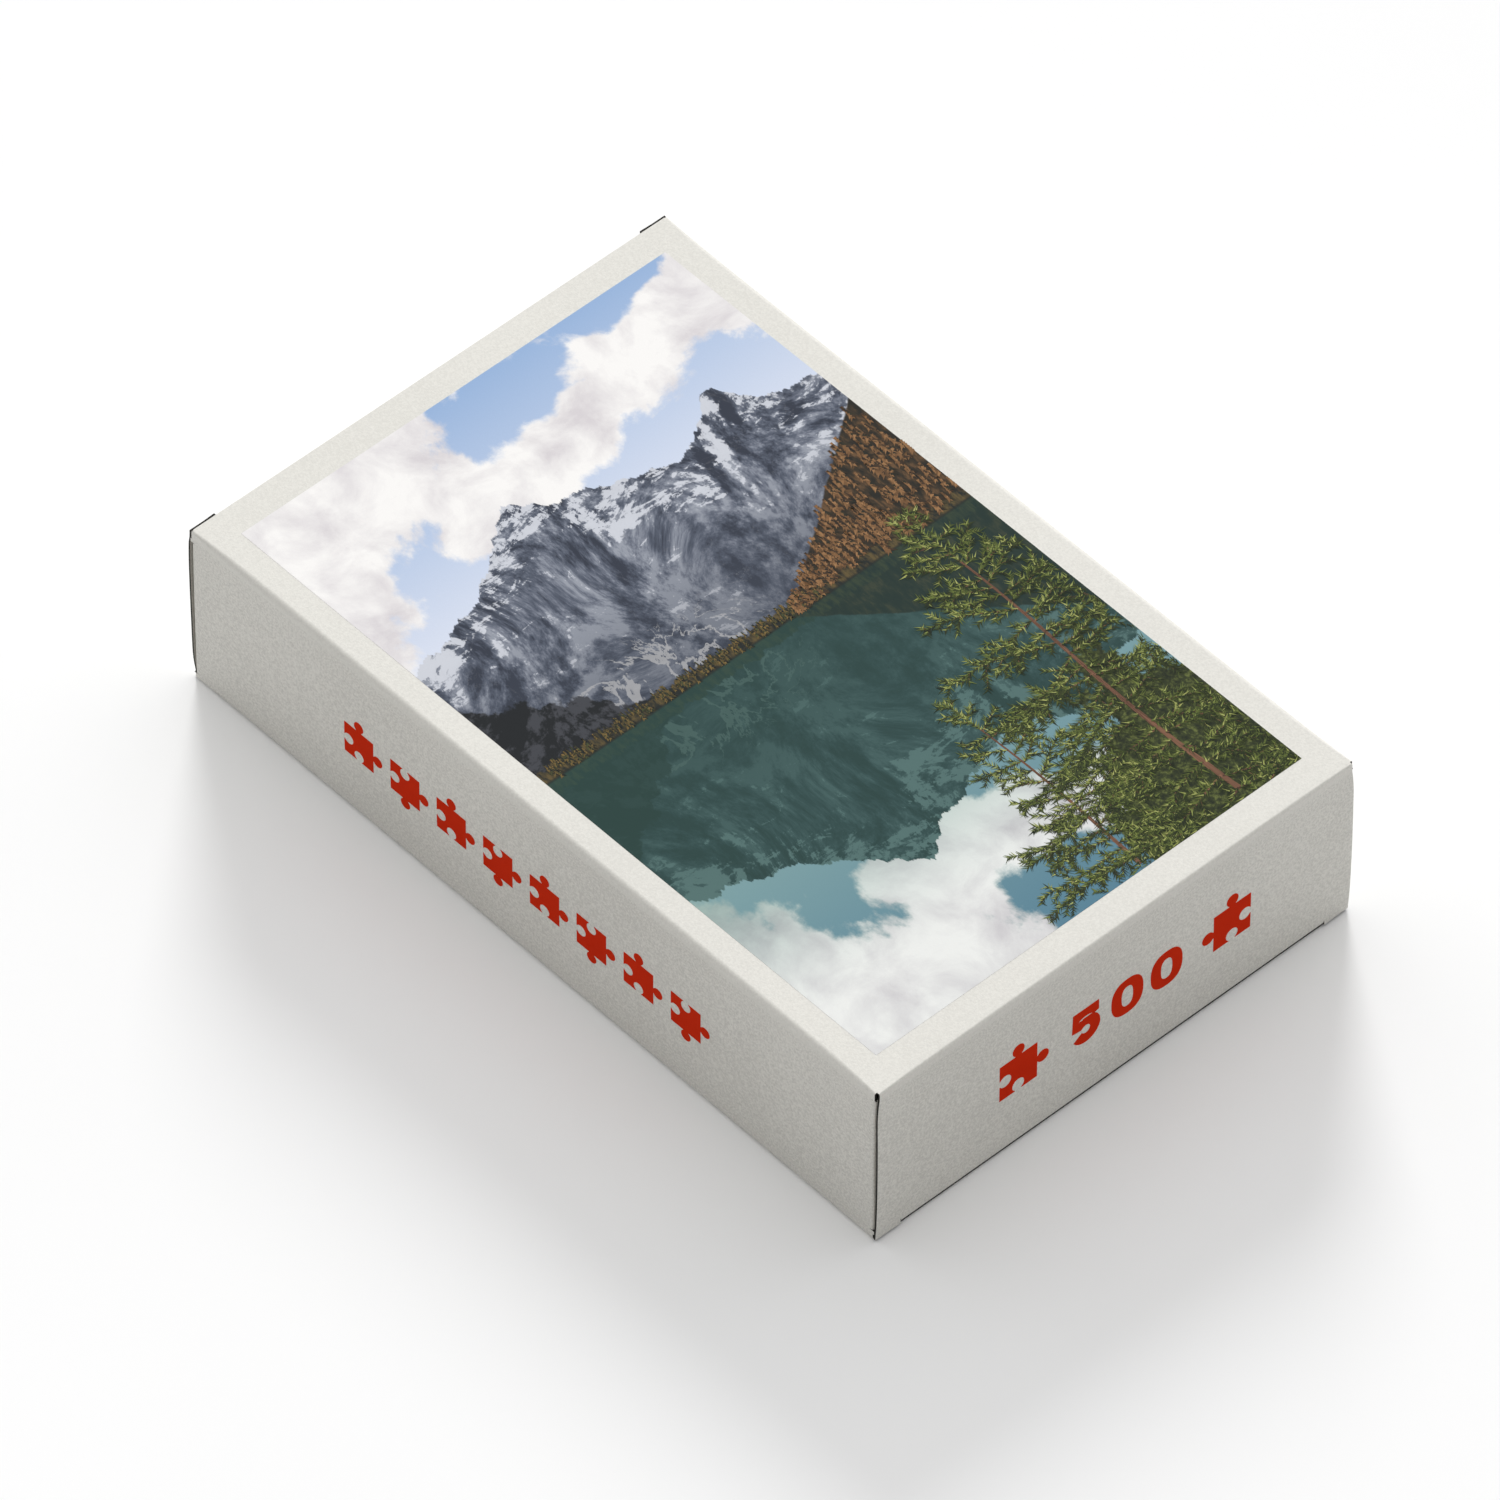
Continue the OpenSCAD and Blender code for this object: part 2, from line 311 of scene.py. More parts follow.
class Field:
    """A number or colour that varies over a surface: one output socket of a node tree."""

    __add__ = operator("ADD")
    __sub__ = operator("SUBTRACT")
    __mul__ = operator("MULTIPLY")
    __truediv__ = operator("DIVIDE")
    abs = operator("ABSOLUTE")
    fraction = operator("FRACT")
    at_least = operator("MAXIMUM")
    at_most = operator("MINIMUM")

    def __init__(self, tree, socket):
        self.tree = tree
        self.socket = socket

    def node(self, kind, inputs, output=0, **settings):
        node = self.tree.nodes.new(kind)
        for name, value in settings.items():
            setattr(node, name, value)
        for key, value in inputs.items():
            if isinstance(value, Field):
                self.tree.links.new(value.socket, node.inputs[key])
            else:
                node.inputs[key].default_value = value
        return Field(self.tree, node.outputs[output])

    def __rsub__(self, other):
        return self * -1.0 + other

    def rise(self, low, high):
        """0 below low and 1 above high, smoothly between. With low above high it falls."""
        inputs = {"Value": self, "From Min": low, "From Max": high}
        return self.node("ShaderNodeMapRange", inputs, interpolation_type="SMOOTHSTEP")

    def bump_at(self, middle, width):
        """A smooth hump of height 1."""
        return ((self - middle).abs()).rise(width, 0.0)

    def blend_to(self, other, share):
        """This colour where share is 0, and the other colour where it is 1."""
        return self.node("ShaderNodeMix", {0: share, 6: self, 7: other}, output=2, data_type="RGBA")

    def ramp(self, *stops):
        """Colours along this number: each stop is a place, then red, green and blue in 0 to 255."""
        node = self.tree.nodes.new("ShaderNodeValToRGB")
        while len(node.color_ramp.elements) < len(stops):
            node.color_ramp.elements.new(0.5)
        for element, (place, *levels) in zip(node.color_ramp.elements, stops):
            element.position = place
            element.color = linear(*levels)
        self.tree.links.new(self.socket, node.inputs[0])
        return Field(self.tree, node.outputs[0])


def linear(*levels):
    """A colour for a socket, from its red, green and blue in 0 to 255."""
    return tuple(
        level / 255 / 12.92 if level <= 10 else ((level / 255 + 0.055) / 1.055) ** 2.4
        for level in levels
    ) + (1.0,)


def new_material(name, **settings):
    """A material, its shader node, and its place field in the row frame, in metres."""
    material = bpy.data.materials.new(name)
    material.use_nodes = True
    tree = material.node_tree
    shader = tree.nodes["Principled BSDF"]
    for key, value in settings.items():
        shader.inputs[key.replace("_", " ")].default_value = value
    place = Field(tree, tree.nodes.new("ShaderNodeTexCoord").outputs["Object"])
    return material, shader, place


def noise(place, scale, detail=2.0, roughness=0.5, distortion=0.0, kind="FBM", offset=0.0):
    """Noise in 0 to 1, with scale in cycles per metre."""
    moved = place.node("ShaderNodeVectorMath", {0: place, 1: (offset,) * 3}, operation="ADD")
    inputs = {
        "Vector": moved, "Scale": scale, "Detail": detail,
        "Roughness": roughness, "Distortion": distortion,
    }
    return place.node("ShaderNodeTexNoise", inputs, noise_type=kind, normalize=kind == "FBM")


def axis_of(place, axis):
    return place.node("ShaderNodeSeparateXYZ", {0: place}, output=axis)


def plug(shader, **fields):
    for key, field in fields.items():
        field.tree.links.new(field.socket, shader.inputs[key.replace("_", " ")])


def bump(height, strength, distance):
    inputs = {"Strength": strength, "Distance": distance, "Height": height}
    return height.node("ShaderNodeBump", inputs)


# ---------- Paper materials ----------


def paper(name, light, dark, roughness, grain):
    """Coated or raw board: a felt grain, finer fibres and slow changes of tone."""
    material, shader, place = new_material(name, Roughness=roughness, Specular_IOR_Level=0.25)
    felt = noise(place, 1700, 2, 0.6)
    fibre = noise(place, 3200, 2, 0.7, offset=3.1)
    tone = noise(place, 15, 2, 0.5, offset=7.7)
    share = (felt * 0.9 + fibre * 0.5 + tone * 0.3).rise(0.6, 1.1)
    plug(shader, Base_Color=share.ramp((0.0, *light), (1.0, *dark)))
    plug(shader, Normal=bump(felt * 0.5 + fibre, grain, 0.0001))
    return material


def cut_edge_material():
    """The board's cut edge: fine layers, near black, much darker than the faces."""
    material, shader, place = new_material("boxboard_cut_edge", Roughness=0.9)
    layers = noise(place, 5200, 3, 0.7)
    plug(shader, Base_Color=layers.ramp((0.3, 20, 18, 15), (0.7, 42, 39, 34)))
    plug(shader, Normal=bump(layers, 0.5, 0.00005))
    return material


def ink_material():
    """Matte red ink that lets a little of the paper's grain through."""
    material, shader, place = new_material("red_ink", Roughness=0.7, Specular_IOR_Level=0.02)
    grain = noise(place, 3000, 3, 0.7)
    slow = noise(place, 120, 3, 0.5, offset=1.3)
    share = grain * 0.6 + slow * 0.4
    plug(shader, Base_Color=share.ramp((0.3, 206, 46, 12), (0.7, 194, 38, 8)))
    plug(shader, Normal=bump(grain, 0.35, 0.00005))
    return material


# ---------- The printed picture ----------

# Half the print's length and width. Its other places are millimetres across it from the left, and
# down it from the sky.
PRINT_X = 101.4
PRINT_Y = 62.4
SHORE = 99.0
REFLECTION_STRETCH = 0.93
LARCH_TOP = 152.0
LARCH_FALL = 0.74

# Each far peak's place across the print, its height as a distance down it, and its steepness
PEAKS = (
    (47.0, 33.0, 0.74), (14.0, 53.0, 0.5), (58.0, 40.0, 0.3), (84.0, 49.0, 0.45),
    (102.0, 38.0, 0.6),
)


def picture_material():
    """A mountain lake: sky and peaks above the shore, the same view mirrored in the water below."""
    material, shader, place = new_material("cover_print", Roughness=0.55, Specular_IOR_Level=0.08)
    across = axis_of(place, 1) / MM + PRINT_Y
    down = axis_of(place, 0) / MM + PRINT_X
    lake = down.rise(SHORE - 0.25, SHORE + 0.25)
    wave = place.node("ShaderNodeCombineXYZ", {0: down * MM, 1: across * MM * 0.25, 2: 0.0})
    ripple = (noise(wave, 420, 3, 0.6) - 0.5) * 1.6
    mirrored = (SHORE - down) * REFLECTION_STRETCH + SHORE + ripple
    height = down.node("ShaderNodeMix", {0: lake, 2: down, 3: mirrored}, data_type="FLOAT")

    def stretched(tall):
        inputs = {0: height * MM * tall, 1: across * MM, 2: 0.0}
        return place.node("ShaderNodeCombineXYZ", inputs)

    plane = stretched(1.0)
    steep = stretched(0.8)
    level = stretched(2.2)
    along = stretched(0.0)

    # Sky and clouds
    sky = (height / SHORE).ramp((0.0, 148, 176, 214), (0.3, 184, 200, 226), (0.65, 222, 226, 238))
    drift = noise(plane, 27, 12, 0.58, 0.2, offset=4.45)
    bank = (height + across * 0.6).rise(72.0, 10.0) * 0.36
    band = (height + across * 0.3 - 49.0).bump_at(0.0, 21.0) * across.rise(8.0, 60.0) * 0.3
    cloud = (drift + bank + band).rise(0.61, 0.68)
    puff = noise(plane, 58, 10, 0.6, 0.4, offset=9.4)
    white = puff.ramp((0.32, 212, 207, 210), (0.46, 231, 228, 228), (0.58, 245, 243, 241))
    colour = sky.blend_to(white, cloud)

    # Far peaks: steep grey walls, with snow near their crest and along their ledges
    slopes = [(across - middle).abs() * fall + top for middle, top, fall in PEAKS]
    crest = slopes[0]
    for other in slopes[1:]:
        crest = crest.at_most(other)
    crest = crest + (noise(along, 75, 9, 0.66, offset=8.1) - 0.5) * 17.0
    peaks = (height - crest).rise(-0.2, 0.2)
    form = noise(steep, 38, 12, 0.72, 0.5, offset=1.1)
    beside = noise(steep, 38, 12, 0.72, 0.5, offset=1.102)
    slope = (form - beside) * 5.5 + 0.5
    gully = noise(stretched(0.45), 110, 8, 0.7, 1.0, offset=5.9)
    facet = slope * 0.85 + gully * 0.3 - 0.08
    rock = facet.ramp(
        (0.15, 46, 52, 66), (0.42, 80, 87, 102), (0.58, 108, 114, 128), (0.85, 150, 155, 166)
    )
    ledge = noise(level, 95, 12, 0.72, 1.1, offset=4.4)
    high = (height - crest).rise(30.0, 2.0) * 0.15
    snow = (ledge * 0.8 + high + slope * 0.2).rise(0.645, 0.69)
    rock = rock.blend_to(linear(210, 213, 221), snow * 0.85)
    rock = rock.blend_to(linear(54, 61, 74), height.rise(56.0, 96.0) * 0.55)
    colour = colour.blend_to(rock, peaks)

    # Pale scree fans at the foot of the peaks
    scree = noise(stretched(0.9), 48, 8, 0.6, 1.2, offset=7.3)
    reach = height.bump_at(94.0, 17.0) * across.bump_at(40.0, 36.0)
    fan = (reach * 0.03 - (scree - 0.5).abs()).rise(-0.003, 0.006)
    colour = colour.blend_to(linear(170, 170, 172), fan * peaks * 0.75)

    # A dark crag on the left, and the ground under the larches on the right
    jag = noise(plane, 60, 8, 0.62, offset=5.0)
    crag_top = across * 0.72 + (jag - 0.5) * 20.0 + 71.0
    crag = (height - crag_top).rise(-0.3, 0.4)
    gloom = (slope * 0.6 + noise(plane, 240, 4, 0.7, offset=3.3) * 0.4).ramp(
        (0.42, 20, 24, 28), (0.6, 62, 64, 70)
    )
    colour = colour.blend_to(gloom, crag)
    hill_top = LARCH_TOP - across * LARCH_FALL + (jag - 0.5) * 3.0
    hill = (height - hill_top).rise(-0.3, 0.4)
    autumn = noise(stretched(0.4), 520, 3, 0.6, offset=6.6).ramp(
        (0.4, 30, 28, 22), (0.52, 54, 44, 30), (0.66, 100, 74, 48)
    )
    colour = colour.blend_to(autumn, hill)
    woods_top = SHORE - 0.3 - noise(along, 300, 3, 0.7, offset=2.9) * 6.0
    woods = noise(stretched(0.4), 700, 3, 0.6, offset=1.9).ramp(
        (0.4, 26, 32, 30), (0.62, 92, 78, 46)
    )
    colour = colour.blend_to(woods, (height - woods_top).rise(-0.3, 0.3))

    # Water takes the mirrored colours, darker, softer and turned to teal
    tint = colour.node(
        "ShaderNodeMix", {0: 1.0, 6: colour, 7: linear(148, 184, 176)},
        output=2, data_type="RGBA", blend_type="MULTIPLY",
    )
    land = peaks.at_least(crag).at_least(hill)
    murk = tint.blend_to(linear(38, 74, 68), land * 0.56 - hill * 0.3 + 0.06)
    open_water = down.rise(132.0, 190.0) * (1.0 - land)
    murk = murk.blend_to(white, cloud * open_water * 0.85)
    colour = colour.blend_to(murk, lake)
    colour = colour.blend_to(linear(24, 30, 28), down.bump_at(SHORE, 0.7) * 0.7)

    # The shade behind the foreground trees
    leaf = noise(place, 700, 3, 0.7, offset=12.1)
    depth = (down - 150.0) / 90.0 - (across - 112.0).abs() / 52.0
    thicket = noise(place, 70, 8, 0.7, offset=12.1) + depth
    brush = leaf.ramp((0.36, 26, 34, 16), (0.52, 52, 60, 28), (0.66, 96, 104, 52))
    colour = colour.blend_to(brush, thicket.rise(0.44, 0.47))

    grain = noise(place, 3600, 2, 0.7)
    inputs = {0: colour, 3: grain * 0.1 + 0.95}
    toned = colour.node("ShaderNodeVectorMath", inputs, operation="SCALE")
    plug(shader, Base_Color=toned)
    plug(shader, Normal=bump(noise(place, 900, 3, 0.6) + grain * 0.5, 0.2, 0.00005))
    return material


def stroke_material(name, *shades):
    """Printed strokes, each with a shade of its own from dark to light."""
    material, shader, place = new_material(name, Roughness=0.55, Specular_IOR_Level=0.08)
    surface = place.tree.nodes.new("ShaderNodeNewGeometry")
    own = Field(place.tree, surface.outputs["Random Per Island"])
    share = own * 0.55 + noise(place, 110, 3, 0.6) * 0.45
    stops = [(0.2 + 0.6 * k / (len(shades) - 1), *shade) for k, shade in enumerate(shades)]
    plug(shader, Base_Color=share.ramp(*stops))
    plug(shader, Normal=bump(noise(place, 900, 3, 0.6), 0.2, 0.00005))
    return material


# ---------- The printed trees ----------
# Places in the print are complex numbers: across it, and down it as the imaginary part.


def strokes(name, groups, materials):
    """Slim pointed strokes of ink over the picture, each a closed form.

    Each group holds arrays of roots, tips, root widths, heights over the lid and material indices.
    """
    root, tip, width, lift, tone = (
        np.concatenate([np.broadcast_to(group[k], group[0].shape) for group in groups])
        for k in range(5)
    )
    middle = PRINT_Y + 1j * PRINT_X
    margin = 0.1
    inside = np.ones(root.shape, bool)
    for end in (root - middle, tip - middle):
        inside &= np.abs(end.real) < PRINT_Y - margin
        inside &= np.abs(end.imag) < PRINT_X - margin
    root, tip, width, lift, tone = (values[inside] for values in (root, tip, width, lift, tone))
    aside = 1j * (tip - root) / np.abs(tip - root) * width / 2
    flat = np.stack([root + aside, root - aside, tip, (2 * root + tip) / 3], 1) - middle
    level = BOX_H + lift[:, None] + np.array([0, 0, 0, -0.01])
    points = np.stack([flat.imag, flat.real, level], -1).reshape(-1, 3)
    corners = np.array([[0, 2, 1], [0, 1, 3], [1, 2, 3], [2, 0, 3]])
    faces = (4 * np.arange(len(root))[:, None, None] + corners).reshape(-1, 3).tolist()
    layer = make_object(name, points, faces, materials, np.repeat(tone, 4), smooth=False)
    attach(layer, "carton")


def twig(heading, length, curl, draws):
    """Points along a twig that starts at nought. Headings are angles from across towards down."""
    count = max(4, round(length / 1.2))
    share = np.arange(count) / count
    turn = heading + curl * share + draws.normal(0, 0.18) * np.sin(2 * math.pi * share)
    return np.concatenate([[0], np.cumsum(np.exp(1j * turn))]) * length / count


def bark(path, width, overlap=5):
    """Strokes that together make a tapering stem along a path."""
    count = len(path) - 1
    start = np.arange(count)
    stop = np.minimum(start + overlap, count)
    taper = 1 - start / count * 0.8
    return path[start], path[stop], width * taper, np.linspace(0.06, 0.035, count), 0


def needles(path, length, gap, draws):
    """Needles that stand out from both sides of a twig and lean towards its tip."""
    along = np.concatenate([[0], np.cumsum(np.abs(np.diff(path)))])
    at = np.arange(0.3, along[-1], gap)

    def point(length_along):
        real, imag = (np.interp(length_along, along, part) for part in (path.real, path.imag))
        return real + 1j * imag

    root = point(at)
    way = point(np.minimum(at + 0.4, along[-1])) - root + 1e-9
    side = np.where(np.arange(len(at)) % 2 == 0, 1, -1)
    lean = side * np.radians(draws.uniform(22, 62, len(at)))
    out = way / np.abs(way) * np.exp(1j * lean) * length * draws.uniform(0.7, 1.15, len(at))
    tone = np.clip(2 + np.where(out.imag < 0, 0.5, -0.7) + draws.normal(0, 0.8, len(at)), 1, 3)
    width = 0.34 * draws.uniform(0.7, 1.2, len(at))
    return root, root + out, width, draws.uniform(0.045, 0.12, len(at)), tone.astype(int)


def fir(trunk, top, foot, reach, spread, needle, draws):
    """A foreground fir: a trunk, branches on both sides, shoots on the branches, and needles."""
    stem = trunk + 1j * np.linspace(foot, top, 40)
    stem = stem + 0.9 * np.sin((stem.imag - top) / 17.0)
    groups = [bark(stem, 0.5 + 0.01 * (foot - top))]
    groups.append(needles(stem[-8:], needle, 0.25, draws))
    for side in (-1, 1):
        down = top + 2.5
        while down < foot + 12:
            below = down - top
            length = min(reach, 2.5 + below * spread) * draws.uniform(0.6, 1.15)
            heading = math.radians(-42 + 52 * min(1, below / 60)) + draws.normal(0, 0.2)
            branch = twig(heading, length, draws.normal(0.0, 0.35), draws)
            start = trunk + 0.9 * math.sin(below / 17.0) + 1j * down

            def turned(path):
                return start + side * path.real + 1j * path.imag

            groups.append(bark(turned(branch), 0.16 + 0.011 * length))
            groups.append(needles(turned(branch), needle, 0.24, draws))
            for at in np.arange(draws.uniform(1.4, 2.6), length, 1.7):
                share = at / length
                place = branch[min(len(branch) - 2, int(share * (len(branch) - 1)))]
                way = draws.choice([-1, 1]) * math.radians(draws.uniform(25, 70))
                shoot_len = (1.6 + 0.36 * min(at, length - at)) * draws.uniform(0.6, 1.4)
                shoot = place + twig(heading + way, shoot_len, draws.normal(0, 0.3), draws)
                groups.append(bark(turned(shoot), 0.14))
                groups.append(needles(turned(shoot), needle, 0.27, draws))
            down += draws.uniform(2.4, 5.6)
    return groups


def small_trees(places, heights, draws):
    """Far conifers, each a stack of tiers that fan out and down, lit from the left."""
    groups = []
    nearness = 0.04 + 0.00025 * places.imag
    tiers = 6
    for tier in range(tiers):
        share = (tier + 0.4) / tiers
        root = places + 1j * heights * share * 0.8
        for side, tone in ((-1, 1), (1, 0), (0, 1)):
            fan = heights * (side * 0.26 * share + draws.normal(0, 0.03, len(places)))
            tip = root + fan + 1j * heights * 0.24
            lift = nearness + draws.uniform(0, 0.008, len(places))
            other_kind = draws.random(len(places)) < 0.3
            groups.append((root, tip, heights * 0.15, lift, tone + 2 * other_kind))
    return groups


def printed_trees():
    """Larches on the slope, woods along the shore, and two firs in the foreground."""
    draws = np.random.default_rng(7)
    count = 300
    across = draws.uniform(74, 2 * PRINT_Y, count)
    ground = LARCH_TOP - LARCH_FALL * across
    down = ground + (SHORE - 2.5 - ground) * draws.random(count) - 2.5
    heights = draws.uniform(3.6, 6.2, count)
    slope = small_trees(across + 1j * down, heights, draws)
    larch = [
        stroke_material("print_larch_shade", (34, 30, 24), (72, 52, 34)),
        stroke_material("print_larch_light", (112, 80, 50), (156, 116, 76)),
        stroke_material("print_larch_dark", (28, 30, 24), (50, 46, 30)),
        stroke_material("print_larch_rust", (82, 60, 38), (126, 90, 56)),
    ]
    strokes("print_larches", slope, larch)

    count = 190
    across = draws.uniform(2, 82, count)
    down = SHORE - draws.uniform(2.2, 5.0, count)
    heights = draws.uniform(2.0, 3.6, count)
    woods = [
        stroke_material("print_woods_shade", (18, 22, 22), (44, 44, 34)),
        stroke_material("print_woods_light", (66, 62, 38), (128, 104, 56)),
        stroke_material("print_woods_dark", (14, 20, 20), (32, 38, 32)),
        stroke_material("print_woods_green", (40, 48, 32), (76, 80, 46)),
    ]
    strokes("print_woods", small_trees(across + 1j * down, heights, draws), woods)

    green = [
        stroke_material("print_bark", (74, 50, 38), (138, 98, 74)),
        stroke_material("print_needles_dark", (26, 34, 18), (58, 68, 32)),
        stroke_material("print_needles_middle", (62, 74, 32), (108, 120, 56)),
        stroke_material("print_needles_light", (108, 122, 54), (174, 178, 104)),
    ]
    foot = 2 * PRINT_X + 0.2
    tall = fir(109.0, 92.0, foot, reach=46.0, spread=0.5, needle=1.9, draws=draws)
    strokes("print_tall_fir", tall, green)
    small = fir(79.0, 139.0, foot, reach=23.0, spread=0.42, needle=1.6, draws=draws)
    strokes("print_small_fir", small, green)


# ---------- Bag and pieces: materials ----------


def film_material():
    """Clear film: nearly invisible face on, glossier where it turns away, and whiter there as a
    painted reflection.
    """
    material, shader, place = new_material(
        "bag_film", Roughness=0.12, Base_Color=linear(236, 240, 242), IOR=1.5
    )
    crinkle = noise(place, 160, 5, 0.6, 0.8)
    facing = place.node("ShaderNodeLayerWeight", {"Blend": 0.35}, output=1)
    # Painted reflection: the film's white shows more where the film turns away from the view.
    alpha = facing * 0.55 + crinkle.rise(0.5, 0.8) * 0.18 + 0.1
    plug(shader, Alpha=alpha.at_most(0.9))
    plug(shader, Normal=bump(crinkle, 0.5, 0.0006))
    return material


def puzzle_material():
    """Pressed grey board, printed on the face of each piece. Half of the pieces lie face down."""
    material, shader, place = new_material("puzzle_board", Roughness=0.6, Specular_IOR_Level=0.3)
    surface = place.tree.nodes.new("ShaderNodeNewGeometry")
    turn = Field(place.tree, surface.outputs["Random Per Island"])
    up = axis_of(Field(place.tree, surface.outputs["Normal"]), 2)
    face_up = turn.rise(0.45, 0.46) * 2.0 - 1.0
    printed = (up * face_up).rise(0.6, 0.8)
    pick = (turn * 37.0).fraction()
    scene_colour = pick.ramp(
        (0.0, 166, 186, 214), (0.14, 234, 232, 226), (0.3, 96, 102, 118), (0.45, 44, 50, 54),
        (0.55, 142, 84, 52), (0.7, 52, 100, 92), (0.85, 74, 92, 48), (1.0, 150, 190, 188),
    )
    patch = noise(place, 240, 6, 0.65, 0.6)
    scene_colour = scene_colour.blend_to(linear(30, 38, 36), patch.rise(0.5, 0.75) * 0.7)
    scene_colour = scene_colour.blend_to(linear(226, 226, 222), patch.rise(0.45, 0.25) * 0.55)
    pulp = noise(place, 1500, 4, 0.7)
    grey = pulp.ramp((0.3, 128, 120, 108), (0.7, 168, 160, 148))
    plug(shader, Base_Color=grey.blend_to(scene_colour, printed))
    plug(shader, Normal=bump(pulp, 0.3, 0.00012))
    return material


# ---------- The carton ----------


def carton_tube(board, lid):
    """The five panels of the glued tube."""
    hinge_x = HALF_L - FOLD_R - LEAD
    flat_y = HALF_W - FOLD_R - LEAD

    def add_panel(name, node, grid, on, out, finish=board):
        panel = shell(name, bulged(grid), out, finish, on=on)
        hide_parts(node)
        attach(panel, "carton")

    def folded_panel(name, node, level, right_y, hinge_side):
        """The lid or the base, with a long fold at each side and a hinge at one end."""
        up = 1 if level > 0 else -1
        near_hinge = hinge_x - 6
        xs = lines(-RAW_X, -FOLD_END_X, -hinge_x + 2, hinge_x - 20, near_hinge, hinge_x, FOLD_END_X)
        xs = np.unique(np.concatenate([xs, np.linspace(near_hinge, hinge_x, 7)]))
        stations = FOLD_END_X + 0.4 - np.abs(xs)
        reach = FOLD_R + LEAD
        radii = (LID_FOLD_R, CORNER_R) if up > 0 else (BASE_FOLD_R, BASE_CORNER_R)
        left = swept_fold((-HALF_W, level), *radii, 180, 180 - 90 * up, stations, reach)
        right = swept_fold((right_y, level), *radii, 90 * up, 0, stations, reach)
        inner = lines(-flat_y, right_y - reach)[1:-1]
        flat = np.broadcast_to(np.stack([inner, np.full_like(inner, level)], 1),
                               (len(xs), len(inner), 2))
        # Where the folds are tight, one more line marks how far the hinge reaches.
        rows = []
        for row in range(len(xs)):
            stop_left = max(-HINGE_HALF, left[row, -2, 0] + 0.03) * np.array([1, 0]) + (0, level)
            stop_right = min(HINGE_HALF, right[row, 1, 0] - 0.03) * np.array([1, 0]) + (0, level)
            rows.append(np.vstack([left[row, :-1], stop_left, left[row, -1:], flat[row],
                                   right[row, :1], stop_right, right[row, 1:]]))
        profile = np.array(rows)
        fold_columns = left.shape[1] - 1
        column = np.arange(profile.shape[1] - 1)
        is_fold = (column < fold_columns) | (column >= profile.shape[1] - 1 - fold_columns)
        x = middles(xs)[:, None]
        on = np.where(is_fold[None, :], np.abs(x) < FOLD_END_X, x < hinge_x)
        grid = keep(xs[:, None], profile[..., 0], profile[..., 1])
        if hinge_side < 0:
            grid = grid * [-1, 1, 1]
        add_panel(name, node, grid, on, (0, 0, up), lid if up > 0 else board)

    folded_panel("cover_board", "cover_panel", BOX_H, HALF_W, 1)
    folded_panel("base_board", "base_panel", 0.0, HALF_W - BOARD_T, -1)

    # Long sides. Between the dust flaps' folds they stop short, where the creases begin.
    crease_x = DUST_FOLD_X - LEAD
    xs = lines(-SIDE_END_X, -crease_x, crease_x, SIDE_END_X)
    for name, side, low in (("left", -1, FOLD_R + LEAD), ("right", 1, SEAM_Z)):
        zs = lines(low, NOTCH_LOW, BOX_H - NOTCH_LOW, BOX_H - FOLD_R - LEAD, step=2.5)
        zs = np.unique(np.concatenate([zs, [BOX_H - NOTCH_HIGH, NOTCH_HIGH]]))
        x = middles(xs)[:, None]
        z = middles(zs)
        front = (z > NOTCH_LOW) & (z < NOTCH_HIGH) & (x > crease_x)
        back = (z > BOX_H - NOTCH_HIGH) & (z < BOX_H - NOTCH_LOW) & (x < -crease_x)
        grid = keep(xs[:, None], side * HALF_W, zs[None, :])
        add_panel(f"{name}_side_board", f"{name}_side_panel", grid, ~(front | back), (0, side, 0))

    # The flap that the seam is glued to, inside the right side
    rise = np.linspace(FOLD_R + LEAD, GLUE_TOP, 8)
    share = (rise - FOLD_R) / (GLUE_TOP - FOLD_R)
    half = DUST_FOLD_X - GLUE_TAPER * share
    across = np.linspace(-1, 1, 55)
    grid = keep(across[:, None] * half[None, :], HALF_W - BOARD_T, rise[None, :])
    add_panel("glue_flap_board", "glue_flap", grid, None, (0, 1, 0))


def crease(name, end, grid, out, board):
    """The crease of a fold between the panels of two bodies, as one shell in the closed carton. The
    grid's first axis goes round it.
    """
    grid = at_end(grid, end)
    fold = shell(name, bulged(grid), out, board)
    middle = grid.shape[1] // 2
    ends = [grid[1, middle], grid[-2, middle]]
    bisector = (ends[0] + ends[1]) / 2 - grid[grid.shape[0] // 2, middle]
    bisector /= np.linalg.norm(bisector)
    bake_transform(fold)


